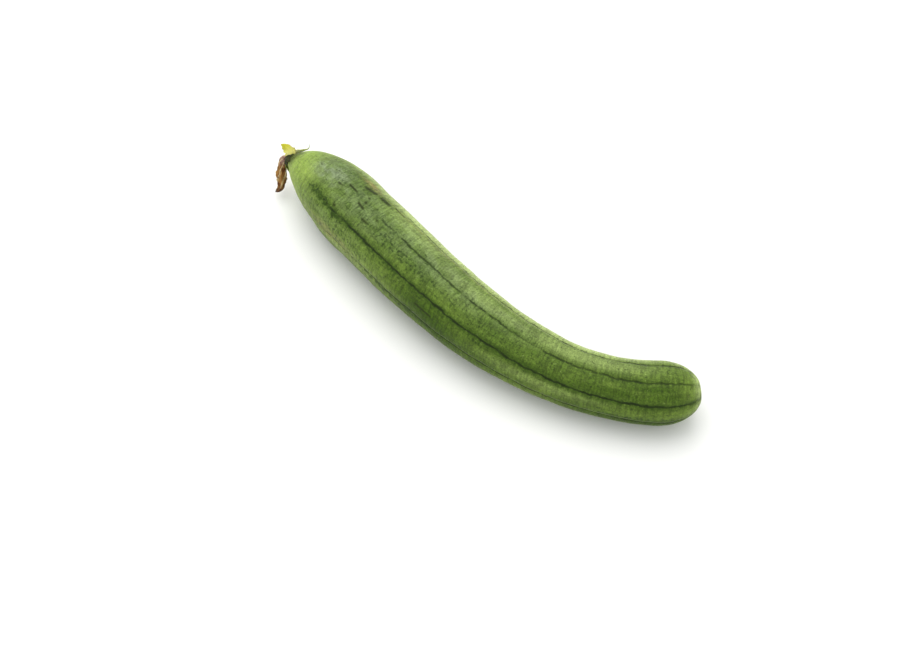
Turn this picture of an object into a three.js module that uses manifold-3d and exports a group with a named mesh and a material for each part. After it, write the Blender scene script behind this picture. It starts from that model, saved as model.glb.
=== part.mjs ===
// Sponge gourd, as picked: one whole smooth luffa lying on its side, with the dried remains
// of its flower at one end and the cut stump of its stalk at the other.
// Millimetres, +Z up. The gourd bends in a level plane and rests on three small flats at z = 0.
// The blossom end is at -X, the stalk end at +X, and the inside of the bend faces +Y.
// The origin is on the resting surface, under the middle of the whole object.
import * as THREE from 'three';
import { mergeVertices } from 'three/addons/utils/BufferGeometryUtils.js';
import Module from 'manifold-3d';

const DEGREE = Math.PI / 180;

// The gourd's middle line: its length, and its heading from +X as the line goes along.
const LENGTH = 350;
const HEADING_AT_START = -20.7 * DEGREE;
const BEND = 114.1 * DEGREE;
const BEND_CENTRE = 0.954;
const BEND_SPREAD = 0.213;
const NOSE_BEND = 24.5 * DEGREE;
const NOSE_BEND_SPREAD = 0.07;

// The gourd's girth: radii at fractions of its length, before both ends are rounded off.
const GIRTH_AT = [0, 0.22, 0.5, 0.76, 1];
const GIRTH_RADIUS = [25.5, 26.4, 24.9, 20.6, 21.7];
const BLOSSOM_TAPER = 71.5;
const STALK_TAPER = 30.6;
const STALK_TAPER_BLUNTNESS = 2.2;
const NECK_START = 2.5;
const NECK_RADIUS = 5.4;

// The dimple in the stalk end, in which the stump stands.
const DIMPLE_DEPTH = 2.6;
const DIMPLE_FLOOR_RADIUS = 5.6;
const DIMPLE_RIM_RADIUS = 8.2;

// The lengthwise furrows, each of which holds one dark line. They are wider apart on one side.
const FURROWS = 10;
const FURROW_DEPTH = 0.75;
const FURROW_SHARPNESS = 0.5;
const FIRST_FURROW_ANGLE = 58.9 * DEGREE;
const FURROW_CROWDING = 0.167;
const WIDEST_PANEL_ANGLE = 112 * DEGREE;
const FURROW_TWIST = 14 * DEGREE;

// The three places where the gourd touches the surface, as fractions of its length.
const RESTS = [0.2, 0.53, 0.88];
const REST_WIDTH = 0.045;
const REST_SINK = 0.6;
const REST_LIFT = 1;

// How finely the gourd's skin is divided.
const SKIN_SIDES = 60;
const BLOSSOM_RINGS = 11;
const BODY_RINGS = 22;
const STALK_RINGS = 8;
const DIMPLE_RINGS = 4;

// The clearance between pieces that touch.
const GAP = 0.3;

// The calyx: a small cup on the neck, with five withered lobes. A lobe is a blade between two edges
// that start on the cup and meet at the lobe's tip. A point of an edge gives how far it lies
// outward from the neck's end and away from the neck's middle, and its angle in degrees from
// straight up toward -Y.
const CUP_LENGTH = 3.7;
const CUP_BASE_RADIUS = 5.2;
const CUP_RIM_RADIUS = 4.1;
const CUP_SIDES = 24;
const LOBES = [
  [
    [[4.4, 3.9, 15], [7.9, 6.1, -6], [11.2, 9.1, -19]],
    [[0.4, 4.9, -50], [0.4, 7.9, -55], [3.5, 9.3, -44], [7.7, 10, -34], [11.2, 9.1, -19]],
  ],
  [
    [[1.6, 4.6, -58], [0, 7.6, -52], [-4.8, 10.8, -58], [-6.4, 13, -61], [-5.7, 17, -62]],
    [[1.6, 4.6, -88], [0, 7.6, -82], [-4.8, 10.8, -66], [-6.6, 13, -64], [-5.7, 17, -62]],
  ],
  [
    [[3.4, 3.9, 182], [3.4, 7, 186], [2, 9.5, 192], [0.4, 11.6, 200]],
    [[1, 4.7, 222], [1.6, 7, 216], [1.4, 9.4, 210], [0.4, 11.6, 200]],
  ],
  [
    [[3.6, 3.9, 104], [1.8, 6.1, 110], [-1, 7.4, 117], [-2.8, 8.7, 124]],
    [[1, 4.6, 142], [0.4, 6.3, 137], [-1.4, 7.5, 131], [-2.8, 8.7, 124]],
  ],
  [
    [[3.4, 4, 22], [1.8, 5.7, 23], [-0.4, 6.9, 28], [-2, 7.9, 38]],
    [[3.4, 4, 58], [1.8, 5.7, 55], [-0.4, 6.9, 49], [-2, 7.9, 38]],
  ],
];
const LOBE_REACH = 0.96;
const LOBE_THICKNESS = 0.7;
const LOBE_CUPPING = 0.12;
const LOBE_ROWS = 10;
const LOBE_COLUMNS = 4;

// The withered corolla: five twisted petals wrapped round a slim core that droops from the cup.
// The core's route is given from the neck's end: outward, toward -Y, and up.
const COROLLA_ROUTE = [
  [CUP_LENGTH + 2 * GAP, 0, 0],
  [5.9, 0, -0.1],
  [7.6, 1.3, -3],
  [7, 3.8, -6.9],
  [5.3, 7, -10],
  [3.6, 10.5, -13.9],
  [2.2, 14, -17],
  [4.6, 16.8, -20],
];
const COROLLA_RADIUS_AT = [0, 0.2, 0.5, 0.8, 1];
const COROLLA_RADIUS = [1.9, 2.5, 3.9, 2.6, 0.7];
const CORE_SHARE = 0.62;
const CORE_SIDES = 8;
const CORE_RINGS = 12;
const PETALS = 5;
const PETAL_THICKNESS = 0.65;
const PETAL_WRAP = 130 * DEGREE;
const PETAL_TWIST = 150 * DEGREE;
const PETAL_START = 0.05;
const PETAL_END = 0.95;
const PETAL_STAGGER = 0.007;
const PETAL_INNER_SHARE = 0.55;
const PETAL_ROWS = 12;
const PETAL_COLUMNS = 3;
const PETAL_CRUMPLE = 0.3;
const PETAL_FLARE = 0.55;

// The stump of the stalk, cut off level with the stalk end.
const STUMP_RADIUS = 4.6;
const STUMP_RIB = 0.45;
const STUMP_RIBS = 5;
const STUMP_SIDES = 30;
const STUMP_LENGTH = 1.3;

const wasm = await Module();
wasm.setup();

// A smooth curve through the values given at a few fractions of a length.
function blend(fractions, values, at) {
  const last = fractions.length - 1;
  const fraction = THREE.MathUtils.clamp(at, 0, 1);
  const slope = (low, high) => (values[high] - values[low]) / (fractions[high] - fractions[low]);
  const slopeAt = (index) => slope(Math.max(index - 1, 0), Math.min(index + 1, last));
  const next = Math.max(fractions.findIndex((value) => value >= fraction), 1);
  const low = next - 1;
  const span = fractions[next] - fractions[low];
  const u = (fraction - fractions[low]) / span;
  const rise = values[next] - values[low];
  const bend = u * (1 - u) * span;
  return values[low] + rise * u * u * (3 - 2 * u)
    + bend * ((1 - u) * slopeAt(low) - u * slopeAt(next));
}

function heading(fraction) {
  const turned = 1 / (1 + Math.exp((BEND_CENTRE - fraction) / BEND_SPREAD));
  return HEADING_AT_START + BEND * turned + NOSE_BEND * Math.exp(-fraction / NOSE_BEND_SPREAD);
}

function girth(fraction) {
  return blend(GIRTH_AT, GIRTH_RADIUS, fraction);
}

// How high the middle line runs, so that the underside meets z = 0 only at the rests.
function middleHeight(fraction) {
  const near = RESTS.map((rest) => Math.exp(-(((fraction - rest) / REST_WIDTH) ** 2)));
  return girth(fraction) - REST_SINK + REST_LIFT * (1 - Math.max(...near));
}

// The middle line as closely spaced points, from the neck's end at x = y = 0.
const MIDDLE_STEPS = 700;
const middlePoints = [new THREE.Vector3(0, 0, 0)];
for (let step = 0; step < MIDDLE_STEPS; step += 1) {
  const direction = heading((step + 0.5) / MIDDLE_STEPS);
  const stride = LENGTH / MIDDLE_STEPS;
  const last = middlePoints[step];
  middlePoints.push(new THREE.Vector3(
    last.x + Math.cos(direction) * stride,
    last.y + Math.sin(direction) * stride,
    0,
  ));
}

// The middle line's point, with the directions along it and to its left, at a distance along it.
function middleAt(distance) {
  const fraction = distance / LENGTH;
  const direction = heading(THREE.MathUtils.clamp(fraction, 0, 1));
  const along = new THREE.Vector3(Math.cos(direction), Math.sin(direction), 0);
  const left = new THREE.Vector3(-along.y, along.x, 0);
  const place = THREE.MathUtils.clamp(fraction, 0, 1) * MIDDLE_STEPS;
  const step = Math.min(Math.floor(place), MIDDLE_STEPS - 1);
  const point = middlePoints[step].clone().lerp(middlePoints[step + 1], place - step);
  point.z = middleHeight(fraction);
  return { point, along, left };
}

// The radii and places of the rings that make up the skin, from the neck to the dimple's floor.
function skinRings() {
  const rings = [];
  const round = (a, b) => (a ** 4 + b ** 4) ** 0.25;
  for (let ring = 0; ring < BLOSSOM_RINGS; ring += 1) {
    const share = 1 - Math.cos((Math.PI / 2) * (ring / BLOSSOM_RINGS));
    const distance = NECK_START + BLOSSOM_TAPER * share;
    const radius = girth(distance / LENGTH) * Math.sqrt(1 - (1 - share) ** 2);
    rings.push({ distance, radius: round(radius, NECK_RADIUS) });
  }
  const bodyStart = NECK_START + BLOSSOM_TAPER;
  const bodyEnd = LENGTH - STALK_TAPER;
  for (let ring = 0; ring < BODY_RINGS; ring += 1) {
    const distance = bodyStart + (bodyEnd - bodyStart) * (ring / BODY_RINGS);
    rings.push({ distance, radius: girth(distance / LENGTH) });
  }
  const turnAt = (radius) => Math.acos(radius / girth(1));
  const turns = [];
  for (let ring = 0; ring < STALK_RINGS; ring += 1) {
    turns.push(turnAt(DIMPLE_RIM_RADIUS) * (ring / STALK_RINGS));
  }
  for (let ring = 0; ring <= DIMPLE_RINGS; ring += 1) {
    const share = ring / DIMPLE_RINGS;
    turns.push(turnAt(THREE.MathUtils.lerp(DIMPLE_RIM_RADIUS, DIMPLE_FLOOR_RADIUS, share)));
  }
  turns.forEach((turn, ring) => {
    const radius = girth((bodyEnd + STALK_TAPER * Math.sin(turn)) / LENGTH) * Math.cos(turn);
    const bulge = STALK_TAPER * Math.sin(turn) ** (2 / STALK_TAPER_BLUNTNESS);
    const into = THREE.MathUtils.smoothstep(ring, STALK_RINGS, STALK_RINGS + DIMPLE_RINGS);
    rings.push({ distance: bodyEnd + bulge - DIMPLE_DEPTH * into, radius });
  });
  return rings;
}

// Evenly numbered sides become angles that put the panels of one side further apart.
function skinAngle(side, fraction) {
  const even = FIRST_FURROW_ANGLE + (2 * Math.PI * side) / SKIN_SIDES;
  const twist = FURROW_TWIST * THREE.MathUtils.smoothstep(fraction, 0.4, 1);
  return even + FURROW_CROWDING * Math.sin(even - WIDEST_PANEL_ANGLE) + twist;
}

// How deep the skin lies below its ring: deepest in the furrows, shallow toward both ends.
function furrowDepth(side, distance) {
  const across = Math.abs(Math.sin((Math.PI * FURROWS * side) / SKIN_SIDES));
  const fromNeck = THREE.MathUtils.smoothstep(distance, 0, BLOSSOM_TAPER * 1.4);
  const fromStalk = THREE.MathUtils.smoothstep(-distance, -LENGTH, STALK_TAPER * 1.2 - LENGTH);
  return FURROW_DEPTH * fromNeck * fromStalk * (1 - across ** FURROW_SHARPNESS);
}

// A closed skin over rings of points, each with the same number of points, with flat ends.
function skinOver(rings) {
  const sides = rings[0].length;
  const middleOf = (ring) => ring.reduce((sum, point) => sum.add(point), new THREE.Vector3())
    .divideScalar(sides);
  const points = [...rings.flat(), middleOf(rings[0]), middleOf(rings[rings.length - 1])];
  const first = points.length - 2;
  const last = points.length - 1;
  const triangles = [];
  for (let side = 0; side < sides; side += 1) {
    const beside = (side + 1) % sides;
    triangles.push(first, beside, side);
    for (let ring = 0; ring + 1 < rings.length; ring += 1) {
      const here = ring * sides;
      const there = here + sides;
      triangles.push(here + side, here + beside, there + side);
      triangles.push(here + beside, there + beside, there + side);
    }
    const end = (rings.length - 1) * sides;
    triangles.push(last, end + side, end + beside);
  }
  return meshOf(points, triangles);
}

// A closed blade over a grid of points and their normals, with both faces divided alike.
function bladeOver(points, normals, rows, columns, thickness) {
  const face = (side) => points.map((point, index) => point.clone()
    .addScaledVector(normals[index], side * thickness / 2));
  const count = points.length;
  const width = columns + 1;
  const triangles = [];
  for (let row = 0; row < rows; row += 1) {
    for (let column = 0; column < columns; column += 1) {
      const a = row * width + column;
      const b = a + 1;
      const c = a + width;
      const d = c + 1;
      triangles.push(a, b, d, a, d, c);
      triangles.push(count + a, count + d, count + b, count + a, count + c, count + d);
    }
  }
  const edge = [];
  for (let column = 0; column < columns; column += 1) edge.push(column);
  for (let row = 0; row < rows; row += 1) edge.push(row * width + columns);
  for (let column = columns; column > 0; column -= 1) edge.push(rows * width + column);
  for (let row = rows; row > 0; row -= 1) edge.push(row * width);
  edge.forEach((here, index) => {
    const next = edge[(index + 1) % edge.length];
    triangles.push(here, count + here, next, next, count + here, count + next);
  });
  return meshOf([...face(1), ...face(-1)], triangles);
}

function meshOf(points, triangles) {
  const geometry = new THREE.BufferGeometry().setFromPoints(points);
  geometry.setIndex(triangles);
  return geometry;
}

// A geometry as a solid that can be joined or cut, and the way back.
function toSolid(geometry) {
  const bare = geometry.clone();
  bare.deleteAttribute('normal');
  bare.deleteAttribute('uv');
  const merged = mergeVertices(bare, 1e-4);
  return new wasm.Manifold(new wasm.Mesh({
    numProp: 3,
    vertProperties: new Float32Array(merged.attributes.position.array),
    triVerts: new Uint32Array(merged.index.array),
  }));
}

function toGeometry(solid) {
  const { vertProperties, triVerts } = solid.getMesh();
  const geometry = new THREE.BufferGeometry();
  geometry.setAttribute('position', new THREE.BufferAttribute(vertProperties, 3));
  geometry.setIndex(new THREE.BufferAttribute(triVerts, 1));
  geometry.computeVertexNormals();
  return geometry;
}

// The outer body of a solid, with hollows that are sealed inside it filled and scraps dropped.
function outerBody(solid) {
  return solid.decompose().reduce((best, each) => (each.volume() > best.volume() ? each : best));
}

// The gourd: its skin, with everything below the resting surface cut away.
function fruit() {
  const rings = skinRings().map(({ distance, radius }) => {
    const { point, left } = middleAt(distance);
    return Array.from({ length: SKIN_SIDES }, (_, side) => {
      const angle = skinAngle(side, distance / LENGTH);
      const reach = radius - furrowDepth(side, distance);
      return point.clone()
        .addScaledVector(left, Math.cos(angle) * reach)
        .add(new THREE.Vector3(0, 0, Math.sin(angle) * reach));
    });
  });
  const below = new THREE.BoxGeometry(3 * LENGTH, 3 * LENGTH, LENGTH);
  below.translate(0, 0, -LENGTH / 2);
  return toGeometry(toSolid(skinOver(rings)).subtract(toSolid(below)));
}

// Directions at the neck's end: the way it points, toward -Y, and up.
const neck = middleAt(NECK_START);
const outward = neck.along.clone().negate();
const sideways = neck.left.clone().negate();
const up = new THREE.Vector3(0, 0, 1);

function fromNeck(out, aside, height) {
  return neck.point.clone()
    .addScaledVector(outward, out)
    .addScaledVector(sideways, aside)
    .addScaledVector(up, height);
}

// One lobe of the calyx: a cupped blade between its two edges.
function lobe(edges) {
  const [first, second] = edges.map((places) => new THREE.CatmullRomCurve3(
    places.map(([out, away, angle]) => fromNeck(
      out,
      away * Math.sin(angle * DEGREE),
      away * Math.cos(angle * DEGREE),
    )),
  ));
  const points = [];
  const normals = [];
  for (let row = 0; row <= LOBE_ROWS; row += 1) {
    const u = (LOBE_REACH * row) / LOBE_ROWS;
    const start = first.getPointAt(u);
    const across = second.getPointAt(u).sub(start);
    const along = first.getTangentAt(u).add(second.getTangentAt(u));
    const normal = across.clone().cross(along).normalize();
    for (let column = 0; column <= LOBE_COLUMNS; column += 1) {
      const v = column / LOBE_COLUMNS;
      const hollow = LOBE_CUPPING * across.length() * 4 * v * (1 - v);
      points.push(start.clone().addScaledVector(across, v).addScaledVector(normal, hollow));
      normals.push(normal);
    }
  }
  return bladeOver(points, normals, LOBE_ROWS, LOBE_COLUMNS, LOBE_THICKNESS);
}

function calyx() {
  const cup = new THREE.CylinderGeometry(CUP_RIM_RADIUS, CUP_BASE_RADIUS, CUP_LENGTH, CUP_SIDES);
  cup.applyQuaternion(new THREE.Quaternion().setFromUnitVectors(new THREE.Vector3(0, 1, 0), outward));
  cup.translate(...fromNeck(GAP + CUP_LENGTH / 2, 0, 0));
  return toGeometry(LOBES.reduce((whole, each) => whole.add(toSolid(lobe(each))), toSolid(cup)));
}

// The corolla's core and petals share one drooping route and one radius along it.
function corolla() {
  const route = new THREE.CatmullRomCurve3(COROLLA_ROUTE.map((place) => fromNeck(...place)));
  const frames = (count) => route.computeFrenetFrames(count);
  const radius = (u) => blend(COROLLA_RADIUS_AT, COROLLA_RADIUS, u);
  const coreFrames = frames(CORE_RINGS);
  const coreRings = Array.from({ length: CORE_RINGS + 1 }, (_, ring) => {
    const u = ring / CORE_RINGS;
    const centre = route.getPointAt(u);
    return Array.from({ length: CORE_SIDES }, (_unused, side) => {
      const turn = (2 * Math.PI * side) / CORE_SIDES;
      return centre.clone()
        .addScaledVector(coreFrames.normals[ring], Math.cos(turn) * radius(u) * CORE_SHARE)
        .addScaledVector(coreFrames.binormals[ring], Math.sin(turn) * radius(u) * CORE_SHARE);
    });
  });
  const petalFrames = frames(PETAL_ROWS);
  const petal = (index) => {
    const stagger = PETAL_STAGGER * index;
    const points = [];
    const normals = [];
    for (let row = 0; row <= PETAL_ROWS; row += 1) {
      const u = THREE.MathUtils.lerp(PETAL_START + stagger, PETAL_END - stagger, row / PETAL_ROWS);
      const centre = route.getPointAt(u);
      for (let column = 0; column <= PETAL_COLUMNS; column += 1) {
        const v = column / PETAL_COLUMNS;
        const turn = (2 * Math.PI * index) / PETALS + PETAL_TWIST * u + PETAL_WRAP * v;
        const away = petalFrames.normals[row].clone().multiplyScalar(Math.cos(turn))
          .addScaledVector(petalFrames.binormals[row], Math.sin(turn));
        const share = THREE.MathUtils.lerp(PETAL_INNER_SHARE, 1, v);
        const crumple = PETAL_CRUMPLE * Math.sin(5 * turn + 9 * u) * Math.sin(Math.PI * u);
        const flare = PETAL_FLARE * v ** 4 * Math.sin(23 * u + 2 * index) * Math.sin(Math.PI * u);
        points.push(centre.clone().addScaledVector(away, share * radius(u) + crumple + flare));
        normals.push(away);
      }
    }
    return bladeOver(points, normals, PETAL_ROWS, PETAL_COLUMNS, PETAL_THICKNESS);
  };
  let whole = toSolid(skinOver(coreRings));
  for (let index = 0; index < PETALS; index += 1) whole = whole.add(toSolid(petal(index)));
  return toGeometry(outerBody(whole));
}

// The stump: a short length of five-ribbed stalk that stands on the dimple's floor.
function stump() {
  const outline = Array.from({ length: STUMP_SIDES }, (_, side) => {
    const turn = (2 * Math.PI * side) / STUMP_SIDES;
    const reach = STUMP_RADIUS + STUMP_RIB * Math.cos(STUMP_RIBS * turn);
    return new THREE.Vector2(Math.cos(turn) * reach, Math.sin(turn) * reach);
  });
  const geometry = new THREE.ExtrudeGeometry(new THREE.Shape(outline), {
    depth: STUMP_LENGTH,
    bevelEnabled: false,
  });
  const floor = middleAt(skinRings().at(-1).distance);
  const start = floor.point.clone().addScaledVector(floor.along, GAP);
  geometry.applyQuaternion(new THREE.Quaternion()
    .setFromUnitVectors(new THREE.Vector3(0, 0, 1), floor.along));
  geometry.translate(...start);
  return toGeometry(toSolid(geometry));
}

const skinMaterial = new THREE.MeshStandardMaterial({ color: 0x6f8a3f, roughness: 0.6, metalness: 0 });
const calyxMaterial = new THREE.MeshStandardMaterial({ color: 0xc4bf4c, roughness: 0.7, metalness: 0 });
const corollaMaterial = new THREE.MeshStandardMaterial({ color: 0x916c38, roughness: 0.85, metalness: 0 });
const stumpMaterial = new THREE.MeshStandardMaterial({ color: 0xb5bd7c, roughness: 0.7, metalness: 0 });

const gourd = new THREE.Group();

function addPiece(name, geometry, material) {
  const piece = new THREE.Mesh(geometry, material);
  piece.name = name;
  gourd.add(piece);
}

addPiece('fruit', fruit(), skinMaterial);
addPiece('calyx', calyx(), calyxMaterial);
addPiece('withered_corolla', corolla(), corollaMaterial);
addPiece('stalk_stump', stump(), stumpMaterial);

// The pieces are moved together, so that the middle of their box stands over the origin.
const centre = new THREE.Box3().setFromObject(gourd).getCenter(new THREE.Vector3());
gourd.position.set(-centre.x, -centre.y, 0);
gourd.updateMatrixWorld(true);

export default gourd;
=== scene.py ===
"""A sponge gourd lying on a pale floor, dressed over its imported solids.

Shapes are worked out in millimetres from the neck's end, at the gourd's blossom end, and turned
into metres in the part's own frame when a piece is made.
"""

import math

import bpy
import numpy as np
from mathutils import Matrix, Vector


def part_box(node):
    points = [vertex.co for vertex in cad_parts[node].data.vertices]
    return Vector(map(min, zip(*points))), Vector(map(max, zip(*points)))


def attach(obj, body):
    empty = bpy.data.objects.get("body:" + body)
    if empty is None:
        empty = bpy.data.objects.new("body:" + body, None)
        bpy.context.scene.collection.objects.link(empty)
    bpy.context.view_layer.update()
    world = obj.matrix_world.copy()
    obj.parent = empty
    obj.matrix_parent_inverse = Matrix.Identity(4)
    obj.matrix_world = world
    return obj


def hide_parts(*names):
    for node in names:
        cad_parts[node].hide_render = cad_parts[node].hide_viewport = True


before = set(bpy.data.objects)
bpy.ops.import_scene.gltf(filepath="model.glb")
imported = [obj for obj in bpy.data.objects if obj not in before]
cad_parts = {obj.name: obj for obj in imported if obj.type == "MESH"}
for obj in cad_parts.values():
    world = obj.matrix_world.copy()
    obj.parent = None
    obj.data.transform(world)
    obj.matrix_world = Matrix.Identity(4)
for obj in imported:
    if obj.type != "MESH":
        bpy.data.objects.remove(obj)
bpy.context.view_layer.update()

MM = 0.001
DEGREE = math.pi / 180

# The gourd's middle line and girth, as in the solids.
LENGTH = 350.0
HEADING_AT_START = -20.7 * DEGREE
BEND = 114.1 * DEGREE
BEND_CENTRE = 0.954
BEND_SPREAD = 0.213
NOSE_BEND = 24.5 * DEGREE
NOSE_BEND_SPREAD = 0.07
GIRTH_AT = (0, 0.22, 0.5, 0.76, 1)
GIRTH_RADIUS = (25.5, 26.4, 24.9, 20.6, 21.7)
BLOSSOM_TAPER = 71.5
STALK_TAPER = 30.6
STALK_TAPER_BLUNTNESS = 2.2
NECK_START = 2.5
NECK_RADIUS = 5.4
DIMPLE_DEPTH = 2.6
DIMPLE_FLOOR_RADIUS = 5.6
DIMPLE_RIM_RADIUS = 8.2

# The lengthwise furrows. They fade out toward both ends, over these shares of the two tapers.
FURROWS = 10
FURROW_DEPTH = 0.75
FURROW_SHARPNESS = 0.5
FURROW_SOFTNESS = 0.004
FIRST_FURROW_ANGLE = 58.9 * DEGREE
FURROW_CROWDING = 0.167
WIDEST_PANEL_ANGLE = 112 * DEGREE
FURROW_TWIST = 14 * DEGREE
BLOSSOM_FADE = 1.4
STALK_FADE = 1.2

# Where the gourd rests, and how far around each place, as fractions of its length. There it sinks
# into the floor a little and is cut flat, and between these places it runs higher.
RESTS = (0.2, 0.53, 0.88)
REST_WIDTH = 0.045
REST_SINK = 0.6
REST_LIFT = 1.0

# How finely the skin is divided here.
SKIN_SIDES = 260
BLOSSOM_RINGS = 90
BODY_RINGS = 210
STALK_RINGS = 46
DIMPLE_RINGS = 10

# Slight swellings of the skin, broad and fine: how high they are, and how long from and to. Each
# kind is the sum of as many waves as this.
SWELLINGS = ((0.32, 22.0, 70.0), (0.09, 6.0, 15.0))
SWELLING_WAVES = 24
SWELLING_SEED = 7

# The ten lines, one in each furrow: how whole each is near the blossom end, along the body and
# near the stalk end, from 0 to 1, and how dark the skin is beside it. The fractions say where along
# the gourd these hold, from its very start to its end, and the margin's distances say where the
# dark skin beside a line starts and where it is full.
LINE_FRACTIONS = (0, 0.14, 0.4, 0.75, 0.9, 1)
MARGIN_STARTS = 28
MARGIN_IS_FULL = 56
LINES = (
    (0.0, 0.72, 0.9, 0.1),
    (0.1, 0.7, 1.0, 0.3),
    (0.42, 0.95, 0.85, 0.9),
    (0.35, 0.8, 0.9, 0.35),
    (0.3, 0.75, 0.9, 0.5),
    (0.4, 0.85, 1.0, 0.4),
    (0.5, 0.9, 1.0, 0.7),
    (0.3, 0.8, 0.9, 0.3),
    (0.4, 0.9, 1.0, 0.5),
    (0.3, 0.7, 0.9, 0.3),
)

# Patches of the skin: their kind, place along the gourd, section angle in degrees, half length,
# half width in degrees, and strength. Some are painted light: the long narrow pale patches along
# the edges and those round the stalk end are painted highlight, and the other pale patches lighten
# single panels; the bloom patches over the upper side are partly painted highlight; the dark and
# deep patches along the lower side are painted shade; and the shade patches are painted shade
# that the calyx casts on the neck.
PATCH_KINDS = ("bloom_and_highlight", "dark", "warm", "tan", "pale", "deep", "painted_shade")
PATCHES = (
    ("bloom_and_highlight", 46, 90, 18, 27, 0.88),
    ("bloom_and_highlight", 62, 94, 16, 12, 0.45),
    ("bloom_and_highlight", 85, 98, 50, 30, 0.33),
    ("bloom_and_highlight", 72, 158, 40, 24, 0.22),
    ("bloom_and_highlight", 150, 88, 90, 24, 0.32),
    ("bloom_and_highlight", 176, 92, 16, 7, 0.35),
    ("bloom_and_highlight", 130, 280, 90, 40, 0.3),
    ("dark", 50, 132, 14, 8, 1.0),
    ("dark", 68, 138, 22, 7, 0.9),
    ("dark", 78, 163, 44, 16, 0.45),
    ("dark", 130, 112, 50, 10, 0.75),
    ("dark", 150, 138, 60, 7, 0.5),
    # The dark patches at 178 and 180 degrees, on the lower side, are painted shade.
    ("dark", 150, 178, 50, 7, 0.9),
    ("dark", 205, 142, 9, 7, 0.7),
    ("dark", 95, 100, 26, 16, 0.4),
    ("dark", 200, 116, 120, 13, 0.35),
    ("dark", 308, 180, 26, 7, 0.7),
    ("dark", 250, 230, 80, 20, 0.4),
    ("dark", 90, 330, 50, 16, 0.4),
    ("warm", 0, 90, 30, 400, 1.0),
    ("warm", 24, 116, 16, 34, 0.9),
    ("warm", 90, 168, 60, 12, 0.35),
    ("warm", 346, 100, 10, 400, 0.3),
    ("tan", 73, 57, 10, 8, 1.0),
    ("tan", 130, 57.5, 90, 3, 0.3),
    ("tan", 72, 171, 26, 10, 0.7),
    ("pale", 150, 38, 120, 16, 1.0),
    ("pale", 256, 34, 86, 26, 1.0),
    ("pale", 90, 178, 60, 10, 0.4),
    ("pale", 125, 66, 30, 12, 0.3),
    ("pale", 200, 80, 60, 11, 0.25),
    ("pale", 272, 78, 46, 16, 0.35),
    ("pale", 338, 46, 11, 16, 0.8),
    ("pale", 347.5, 110, 4.2, 88, 0.95),
    ("pale", 250, 158, 40, 10, 0.2),
    # The deep patches at 164 to 196 degrees are painted shade on the lower side.
    ("deep", 165, 164, 34, 30, 1.0),
    ("deep", 176, 190, 40, 16, 0.8),
    ("deep", 305, 131, 50, 8, 0.6),
    ("deep", 318, 117, 14, 6, 0.8),
    ("deep", 312, 196, 40, 14, 1.0),
    ("deep", 230, 134, 110, 6, 0.4),
    # Painted shade that the calyx casts on the neck.
    ("painted_shade", 4, 92, 6.5, 58, 0.9),
    ("painted_shade", 3, 330, 5, 110, 0.5),
    ("painted_shade", 9, 82, 4, 12, 0.8),
)

# Short dashes that stand apart from the lines: where each starts and ends along the gourd, its
# section angles there in degrees, and its half width.
DASHES = (
    (57, 60, 98, 97, 0.7),
    (64, 71, 88, 88, 0.9),
    (72, 80, 71, 67, 1.6),
    (86.5, 93, 66, 65, 1.7),
    (80, 86, 99, 101, 1.0),
    (91, 96, 113, 113, 0.9),
    (83, 83.5, 91, 91, 1.1),
    (81.5, 82, 82, 82, 0.9),
    (99.5, 100, 99, 99, 1.0),
    (67, 67.5, 127, 127, 1.2),
    (98, 107, 59.5, 58.5, 0.6),
    (158, 171, 154, 155, 0.8),
    (118, 124, 214, 216, 0.9),
    (98, 107, 300, 302, 1.0),
    (142, 149, 340, 338, 0.9),
)

# The skin's colours, from 0 to 255, as they look in this light. Pale is mostly a painted highlight
# and bloom partly one; deep and dark are partly painted shade, and the shade colour is painted
# shade that the calyx casts on the neck.
SKIN_COLOURS = {
    "green": (86, 110, 36),
    "light green": (106, 130, 48),
    "pale cloud": (120, 145, 58),
    "dark cloud": (72, 98, 24),
    "pale": (182, 201, 126),
    "deep": (58, 84, 8),
    "tip": (152, 179, 80),
    "tip pore": (202, 218, 122),
    "tan": (152, 140, 82),
    "bloom_and_highlight": (140, 155, 118),
    "dark": (62, 88, 22),
    "dark speck": (44, 64, 16),
    "pale speck": (158, 180, 104),
    "beside a line": (48, 74, 4),
    "line": (30, 46, 4),
    "dash": (38, 48, 4),
    "painted_shade": (48, 58, 8),
    "sheen": (232, 240, 180),
}

# The skin's grain, coarse to fine: how many waves of each kind there are in a millimetre.
DRIFT_SCALE = 0.035
CLOUD_SCALE = 0.16
STREAK_SCALE = 0.42
SPECK_SCALE = 0.5
HATCH_SCALE = 0.62
PORE_SCALE = 1.0
FINE_SCALE = 2.6

# The lines' own grain: their vigour, their wavering and the breaks in them. In millimetres, how far
# they waver to each side, how far the dark skin beside them reaches, and at which distances along
# the gourd they widen and then grow faint.
VIGOUR_SCALE = 0.13
WAVER_SCALE = 0.16
BREAK_SCALE = 0.22
WAVER_REACH = 0.7
MARGIN_WIDTH = 4.6
WIDENING = (285.0, 320.0)
FADING = (334.0, 347.0)

# The gap that keeps the pieces apart.
GAP = 0.3

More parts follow.
